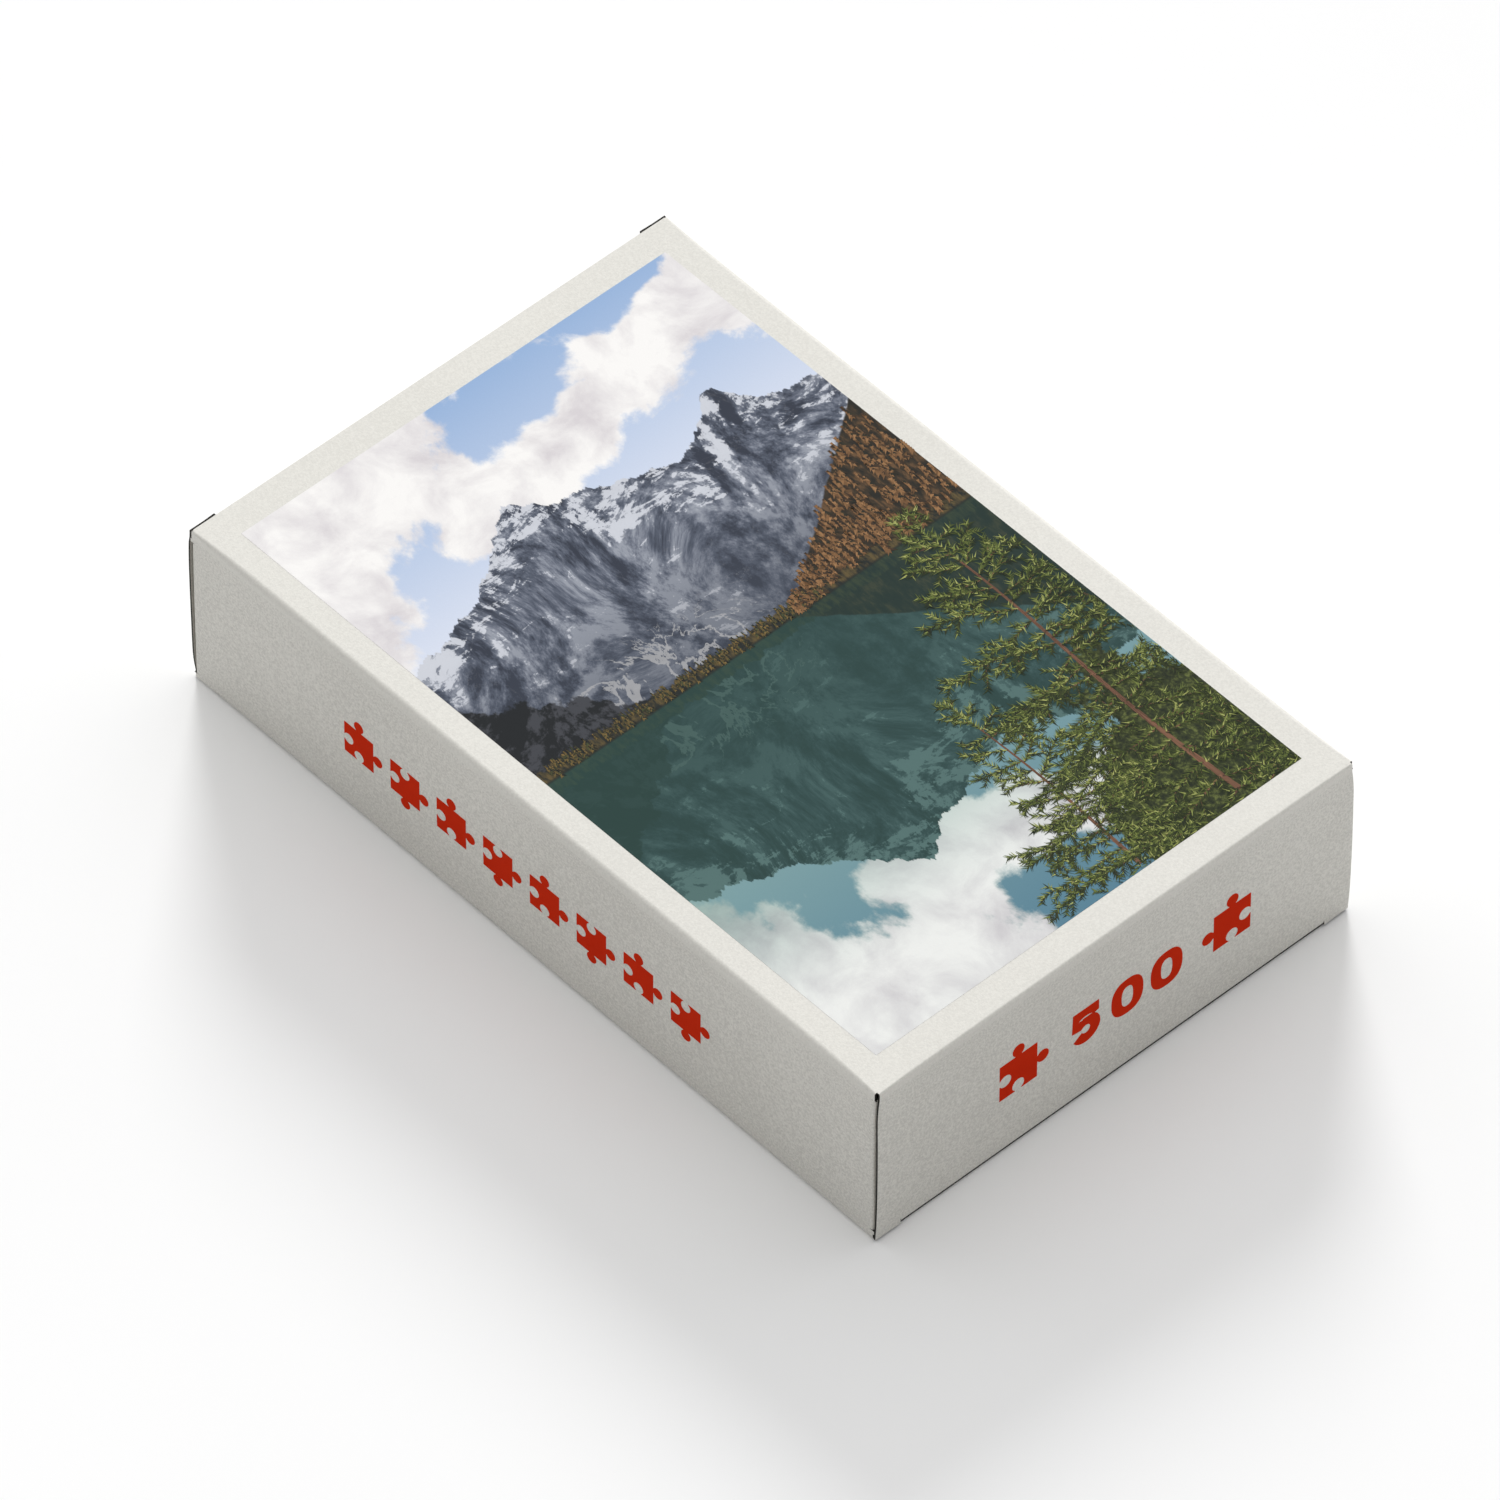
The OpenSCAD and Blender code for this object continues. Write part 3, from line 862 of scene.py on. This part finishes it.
def end_flaps(end, board, lid):
    """One end's closure, tuck flap and dust flaps, with their creases."""
    way = 1 if end == "front" else -1

    def add(name, node, body, grid, out, on=None):
        flap = shell(name, at_end(grid, end), np.array(out) * (way, 1, way), board, on=on)
        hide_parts(node)
        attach(flap, body)

    # Closure, with its locking corners either side of the tuck fold
    fold_half = TUCK_FOLD_HALF - 0.2
    ys = lines(-CLOSURE_EDGE, -HINGE_HALF, -TUCK_FOLD_HALF, -fold_half,
               fold_half, TUCK_FOLD_HALF, HINGE_HALF, CLOSURE_EDGE)
    low = TUCK_FOLD_Z + LEAD
    high = BOX_H - FOLD_R - LEAD
    lock_rise = FRONT_LOCK_RISE if end == "front" else 0.0
    zs = lines(CLOSURE_LOW + lock_rise, TUCK_FOLD_Z, low, high, step=2.0)
    y = np.abs(middles(ys))[:, None]
    z = middles(zs)
    on = (y > TUCK_FOLD_HALF) | (z > TUCK_FOLD_Z)
    on &= ~((y < fold_half) & (z < low))
    narrow = (CLOSURE_EDGE - HINGE_HALF) * np.clip((zs - 38) / (high - 38), 0, 1) ** 2
    half = np.where(np.abs(ys)[:, None] > HINGE_HALF, CLOSURE_EDGE - narrow[None, :] + 0.02,
                    np.abs(ys)[:, None])
    rows = np.sign(ys)[:, None] * half
    grid = keep(HALF_L + end_bow(end, ys[:, None], zs[None, :]), rows, zs[None, :])
    add(f"{end}_closure_board", f"{end}_closure_panel", f"{end}_closure", grid, (1, 0, 0), on)

    # Hinge fold and tuck fold
    hinge_r = LID_HINGE_R if end == "front" else BASE_HINGE_R
    ys = lines(-HINGE_HALF, -HINGE_HALF + 12, HINGE_HALF - 12, HINGE_HALF, step=2.0)
    stations = HINGE_HALF - np.abs(ys)
    profile = swept_fold((HALF_L, BOX_H), hinge_r, CORNER_R, 90, 0, stations, FOLD_R + LEAD)
    grid = keep(profile[..., 0], ys[:, None], profile[..., 1]).transpose(1, 0, 2)
    # The front hinge crease takes the lid's paper, so the board's painted shade begins on the
    # closure, below the fold.
    finish = lid if end == "front" else board
    crease(f"{end}_hinge_crease", end, grid, (way, 0, way), finish)
    ys = lines(-fold_half, fold_half)
    profile = arc((TUCK_FOLD_X, TUCK_FOLD_Z), FLAP_FOLD_R, 0, -90 - math.degrees(TUCK_TILT))
    grid = keep(profile[:, None, 0], ys[None, :], profile[:, None, 1])
    crease(f"{end}_tuck_crease", end, grid, (way, 0, -way),
           board)

    # Tuck flap: a neck at the fold, then a tongue with rounded ends
    round_r = (TUCK_LEN - TUCK_NECK) / 2
    turn = np.linspace(0, math.pi, 25)
    depth = np.concatenate([[LEAD, TUCK_NECK - 0.3], TUCK_NECK + round_r * (1 - np.cos(turn))])
    half = np.concatenate([[fold_half] * 2, TUCK_HALF - round_r + round_r * np.sin(turn)])
    half = np.where(depth < TUCK_NECK + round_r, np.maximum(half, fold_half), half)
    way_in = np.array([-math.cos(TUCK_TILT), math.sin(TUCK_TILT)])
    root = np.array([TUCK_FOLD_X, TUCK_FOLD_Z])
    root = root - FLAP_FOLD_R * np.array([math.sin(TUCK_TILT), math.cos(TUCK_TILT)])
    place = root + depth[:, None] * way_in
    share = np.linspace(-1, 1, 41)
    grid = keep(place[:, None, 0], share[None, :] * half[:, None], place[:, None, 1])
    add(f"{end}_tuck_board", f"{end}_tuck_flap", f"{end}_tuck", grid, (0, 0, -1))

    # Dust flaps
    for name, side in (("left", -1), ("right", 1)):
        zs = lines(DUST_LOW, DUST_HIGH, step=2.5)
        profile = arc((DUST_FOLD_X, DUST_ROOT), DUST_FOLD_R, 90, 0)
        grid = keep(profile[:, None, 0], side * profile[:, None, 1], zs[None, :])
        crease(f"{end}_{name}_dust_crease", end, grid, (way, side, 0),
               board)
        chamfer_y = -DUST_TIP + DUST_CHAMFER
        ys = lines(DUST_ROOT - LEAD, chamfer_y, -DUST_TIP, step=2.0)
        cut = np.maximum(chamfer_y - ys, 0)
        share = (DUST_ROOT - ys) / (DUST_ROOT + DUST_TIP)
        low = DUST_LOW + cut
        high = DUST_HIGH + (DUST_TIP_HIGH - DUST_HIGH) * share
        up = np.linspace(0, 1, 19)
        zs = low[:, None] + (high - low)[:, None] * up[None, :]
        lean_in = DUST_LEAN * share ** 2
        grid = keep((DUST_FACE_X - lean_in)[:, None], side * ys[:, None], zs)
        add(f"{end}_{name}_dust_board", f"{end}_{name}_dust_flap", f"{end}_{name}_dust",
            bulged(grid), (1, 0, 0))


# ---------- Print and ink ----------

INK_HEIGHT = 0.05
INK_DEPTH = 0.03


def cover_print(board_edge):
    """The printed picture, a thin layer on the lid."""
    lift = 0.03
    xs = lines(-PRINT_X, PRINT_X)
    ys = lines(-PRINT_Y, PRINT_Y)
    grid = keep(xs[:, None], ys[None, :], BOX_H + lift)
    picture = picture_material()
    layer = shell("cover_print", grid, (0, 0, 1), [picture, board_edge, board_edge], thick=0.02)
    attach(layer, "carton")


def jigsaw_outline(size, sides):
    """A jigsaw piece's outline about the origin: sides are 1 for a tab and -1 for a blank."""
    knob_r = 0.16 * size
    knob_out = 0.15 * size
    neck = 0.085 * size
    open_angle = math.asin(neck / knob_r)
    points = []
    for k, side in enumerate(sides):
        row = [(-size / 2, 0.0), (-neck, 0.0)]
        for turn in np.linspace(open_angle, 2 * math.pi - open_angle, 17):
            row.append((-knob_r * math.sin(turn), side * (knob_out - knob_r * math.cos(turn))))
        row.append((neck, 0.0))
        angle = -k * math.pi / 2
        for a, b in row:
            b += size / 2
            points.append((a * math.cos(angle) - b * math.sin(angle),
                           a * math.sin(angle) + b * math.cos(angle)))
    return points


def stroke_outline(path, width):
    """The outline of a line of constant width, with square ends and mitred corners."""
    path = np.array(path, float)
    step = np.diff(path, axis=0)
    step /= np.linalg.norm(step, axis=1, keepdims=True)
    normal = np.stack([-step[:, 1], step[:, 0]], 1)
    joint = np.vstack([normal[:1], normal[:-1] + normal[1:], normal[-1:]])
    joint /= np.linalg.norm(joint, axis=1, keepdims=True)
    reach = np.vstack([normal[:1], normal])
    joint *= width / 2 / np.sum(joint * reach, axis=1, keepdims=True)
    return [tuple(p) for p in np.vstack([path + joint, (path - joint)[::-1]])]


def oval(half_width, half_height):
    """A numeral nought's outline, a little squarer than an ellipse."""
    power = 2 / 2.5
    points = []
    for turn in np.linspace(0, 2 * math.pi, 49)[:-1]:
        c, s = math.cos(turn), math.sin(turn)
        points.append((half_width * math.copysign(abs(c) ** power, c),
                       half_height * math.copysign(abs(s) ** power, s)))
    return points


def ink_mark(name, outlines, place, out, body, ink):
    """Flat ink from closed outlines, in strips narrow enough to follow a bowed face.

    place turns outline points and a height over the face into points of the row frame.
    """
    curve = bpy.data.curves.new(name, "CURVE")
    curve.dimensions = "2D"
    curve.fill_mode = "BOTH"
    for outline in outlines:
        spline = curve.splines.new("POLY")
        spline.points.add(len(outline) - 1)
        spline.use_cyclic_u = True
        for point, (a, b) in zip(spline.points, outline):
            point.co = (a, b, 0, 1)
    source = new_object(name + "_outline", curve)
    bpy.context.view_layer.update()
    graph = bpy.context.evaluated_depsgraph_get()
    filled = bpy.data.meshes.new_from_object(source.evaluated_get(graph))
    bpy.data.objects.remove(source)
    form = bmesh.new()
    form.from_mesh(filled)
    bmesh.ops.remove_doubles(form, verts=form.verts, dist=1e-4)
    heights = [v.co.y for v in form.verts]
    strip = 0.8
    for cut in np.arange(min(heights) + strip, max(heights), strip):
        geom = form.verts[:] + form.edges[:] + form.faces[:]
        bmesh.ops.bisect_plane(form, geom=geom, plane_co=(0, float(cut), 0), plane_no=(0, 1, 0))
    bmesh.ops.triangulate(form, faces=form.faces)
    form.verts.index_update()
    flat = np.array([v.co[:2] for v in form.verts])
    faces = [[v.index for v in face.verts] for face in form.faces]
    rims = [[loop.vert.index, loop.link_loop_next.vert.index]
            for edge in form.edges if edge.is_boundary for loop in edge.link_loops]
    form.free()
    count = len(flat)
    top = place(flat[:, 0], flat[:, 1], INK_HEIGHT)
    bottom = place(flat[:, 0], flat[:, 1], -INK_DEPTH)
    solid = [face[:] for face in faces]
    solid += [[v + count for v in reversed(face)] for face in faces]
    solid += [[b, a, a + count, b + count] for a, b in rims]
    a, b, c = (np.array(top[i]) for i in faces[0])
    if np.cross(b - a, c - a) @ np.array(out, float) < 0:
        solid = [face[::-1] for face in solid]
    mark = make_object(name, np.vstack([top, bottom]), solid, [ink], smooth=False)
    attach(mark, body)


def shifted(outline, a, b):
    return [(x + a, y + b) for x, y in outline]


def long_side_marks(ink):
    """A row of jigsaw-piece signs along the left side."""
    count = 8
    pitch = 15.0
    size = 9.4
    centre_x = -2.0
    centre_z = 23.2

    def place(a, b, height):
        return keep(a, -HALF_W - side_bulge(a, b) - height, b)

    for k in range(count):
        sides = [1, 1, -1, -1] if k % 2 == 0 else [-1, 1, 1, -1]
        outline = jigsaw_outline(size, sides)
        middle = centre_x + (k - (count - 1) / 2) * pitch
        ink_mark(f"left_side_sign_{k + 1}", [shifted(outline, middle, centre_z)], place,
                 (0, -1, 0), "carton", ink)


def short_end_marks(ink):
    """The number of pieces, between two jigsaw-piece signs, on the front closure."""
    centre_y = 3.0
    centre_z = 24.0
    cap = 11.0
    weight = 3.0
    nought_half = 4.7
    bowl_r = 2.75
    bowl = (-0.2, -cap / 2 + weight / 2 + bowl_r)
    turns = np.radians(np.linspace(132, -150, 30))
    five = [(3.6, cap / 2 - weight / 2), (-2.6, cap / 2 - weight / 2), (-2.75, 0.9)]
    five += [(bowl[0] + bowl_r * math.cos(t), bowl[1] + bowl_r * math.sin(t)) for t in turns]

    def place(a, b, height):
        return keep(HALF_L + end_bow("front", a, b) + height, a, b)

    nought = [oval(nought_half, cap / 2), oval(nought_half - weight, cap / 2 - weight * 0.8)]
    marks = {
        "front_number_5": ([stroke_outline(five, weight)], -12.0),
        "front_number_0a": (nought, 0.0),
        "front_number_0b": (nought, 11.6),
        "front_sign_left": ([jigsaw_outline(cap, [1, 1, -1, -1])], -32.0),
        "front_sign_right": ([jigsaw_outline(cap, [1, -1, -1, 1])], 31.0),
    }
    for name, (outlines, a) in marks.items():
        moved = [shifted(outline, a + centre_y, centre_z) for outline in outlines]
        ink_mark(name, moved, place, (1, 0, 0), "front_closure", ink)


# ---------- Bag and pieces ----------


def film_bag():
    """A sealed pillow of film around the pieces, with crimped ends and folds that run into them."""
    low, high = (np.array(corner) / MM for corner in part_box("piece_bag"))
    seal_len = 5.0
    draw_in = 10.0
    fold_reach = 16.0
    crimp_pitch = 1.25
    half_x = high[0] - seal_len
    half_y = high[1] - 0.3
    half_z = (high[2] - low[2]) / 2 - 0.3
    middle_z = (high[2] + low[2]) / 2
    xs = np.concatenate([
        np.linspace(-half_x - seal_len, -half_x, 22)[:-1],
        half_x * np.sin(np.linspace(-math.pi / 2, math.pi / 2, 121)),
        np.linspace(half_x, half_x + seal_len, 22)[1:],
    ])
    turns = np.linspace(0, 2 * math.pi, 241)[:-1]
    vertices = []
    for x in xs:
        inside = max(0.0, 1 - abs(x / half_x) ** 8)
        beneath = max(0.0, 1 - abs(x / half_x) ** 6)
        wide = half_y - draw_in * (1 - inside ** 0.25)
        near_seal = math.exp(-((half_x - abs(x)) / fold_reach) ** 2)
        for turn in turns:
            c, s = math.cos(turn), math.sin(turn)
            y = wide * math.copysign(abs(c) ** 0.45, c)
            thick = half_z * (inside if s > 0 else beneath) ** (1 / 3)
            z = thick * math.copysign(abs(s) ** 0.6, s)
            folds = math.sin(y * 0.55 + 2.0 * math.sin(y * 0.13 + math.copysign(1, x)))
            rumple = math.sin(x * 0.21 + 3.0 * math.sin(y * 0.06)) * math.sin(y * 0.17 + x * 0.05)
            squeeze = 1 - 0.05 * near_seal * (1 + folds) - 0.015 * (1 + rumple)
            if abs(x) >= half_x:
                z = 0.16 * math.copysign(1, s) + 0.22 * math.sin(2 * math.pi * x / crimp_pitch)
                squeeze = 1
            vertices.append((x, y * min(1.0, squeeze + 0.02), middle_z + z * squeeze))
    around = len(turns)
    faces = []
    last = (len(xs) - 1) * around
    for i in range(0, last, around):
        for j in range(around):
            k = (j + 1) % around
            faces.append([i + j, i + k, i + around + k, i + around + j])
    faces.append(list(range(around)))
    faces.append(list(reversed(range(last, last + around))))
    bag = make_object("film_bag", vertices, faces, [film_material()])
    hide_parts("piece_bag")
    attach(bag, "bag")


def finish_pieces():
    board = puzzle_material()
    for name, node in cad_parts.items():
        if name.endswith("_pieces"):
            node.data.materials.clear()
            node.data.materials.append(board)


# ---------- Camera, floor and light ----------

VIEW_AZ = math.radians(47.191)
VIEW_EL = math.radians(48.239)
VIEW_ROLL = math.radians(0.283)
VIEW_DISTANCE = 3737.0
VIEW_ASIDE = 3.81
VIEW_UP = -9.35
LENS = 411.02

ROOM_STRENGTH = 0.95
LAMP_AZ = VIEW_AZ + math.pi + math.radians(2)
LAMP_EL = math.radians(25)


def direction(azimuth, elevation):
    """The way towards a place seen at an azimuth, from -Y round to +X, and an elevation."""
    flat = math.cos(elevation)
    return math.sin(azimuth) * flat, -math.cos(azimuth) * flat, math.sin(elevation)


def add_camera():
    back = Vector(direction(VIEW_AZ, VIEW_EL))
    right = Vector((math.cos(VIEW_AZ), math.sin(VIEW_AZ), 0))
    up = back.cross(right)
    rolled_right = math.cos(VIEW_ROLL) * right + math.sin(VIEW_ROLL) * up
    rolled_up = math.cos(VIEW_ROLL) * up - math.sin(VIEW_ROLL) * right
    data = bpy.data.cameras.new("camera")
    data.lens = LENS
    data.sensor_width = 36.0
    data.clip_start = 0.05
    data.clip_end = 50.0
    camera = new_object("camera", data)
    place = (VIEW_DISTANCE * back - VIEW_ASIDE * rolled_right - VIEW_UP * rolled_up) * MM
    turned = Matrix((rolled_right, rolled_up, back)).transposed().to_4x4()
    camera.matrix_world = Matrix.Translation(place) @ turned
    bpy.context.scene.camera = camera


def add_floor():
    material, shader, place = new_material("floor", Roughness=0.9, Specular_IOR_Level=0.0)
    tone = noise(place, 4, 2)
    plug(shader, Base_Color=tone.ramp((0.3, 249, 249, 249), (0.7, 251, 251, 251)))
    reach = 6000.0
    corners = [(-reach, -reach), (reach, -reach), (reach, reach), (-reach, reach)]
    floor = make_object("floor", [(x, y, -0.03) for x, y in corners], [[0, 1, 2, 3]], [material],
                        smooth=False)


def add_light():
    """A soft white room that is darker on the viewer's side, and a low lamp from behind."""
    world = bpy.data.worlds.new("room")
    bpy.context.scene.world = world
    world.use_nodes = True
    tree = world.node_tree
    way = Field(tree, tree.nodes.new("ShaderNodeTexCoord").outputs["Generated"])
    back = direction(VIEW_AZ, 0.0)
    facing = way.node("ShaderNodeVectorMath", {0: way, 1: back}, output=1, operation="DOT_PRODUCT")
    height = axis_of(way, 2)
    low = height.rise(1.0, 0.1) * facing.rise(-0.6, 0.35)
    strength = (1.0 - low) * ROOM_STRENGTH
    background = tree.nodes["Background"]
    background.inputs["Color"].default_value = (1.0, 1.0, 1.0, 1.0)
    tree.links.new(strength.socket, background.inputs["Strength"])

    lamp = bpy.data.lights.new("key", "SUN")
    lamp.energy = 2.0
    lamp.angle = math.radians(18)
    key = new_object("key", lamp)
    aim = Vector(direction(LAMP_AZ, LAMP_EL))
    key.matrix_world = aim.to_track_quat("Z", "Y").to_matrix().to_4x4()


def main():
    add_camera()
    add_light()
    add_floor()
    cut_edge = cut_edge_material()
    back = paper("boxboard_back", (205, 202, 194), (186, 182, 172), 0.85, 0.6)
    # The other faces of the board: a stronger grain, and darker than the lid's paper as painted
    # shade for the sides and ends that face away from the lamp. The carton is one board.
    face = paper("boxboard_face_painted_shade", (230, 228, 221), (203, 201, 194), 0.6, 1.0)
    lid_face = paper("boxboard_lid_face", (227, 225, 218), (215, 213, 206), 0.55, 0.4)
    board = [face, back, cut_edge]
    lid = [lid_face, back, cut_edge]
    carton_tube(board, lid)
    for end in ("front", "back"):
        end_flaps(end, board, lid)
    cover_print(cut_edge)
    printed_trees()
    ink = ink_material()
    long_side_marks(ink)
    short_end_marks(ink)
    film_bag()
    finish_pieces()
    bpy.context.scene.view_settings.view_transform = "Standard"


main()
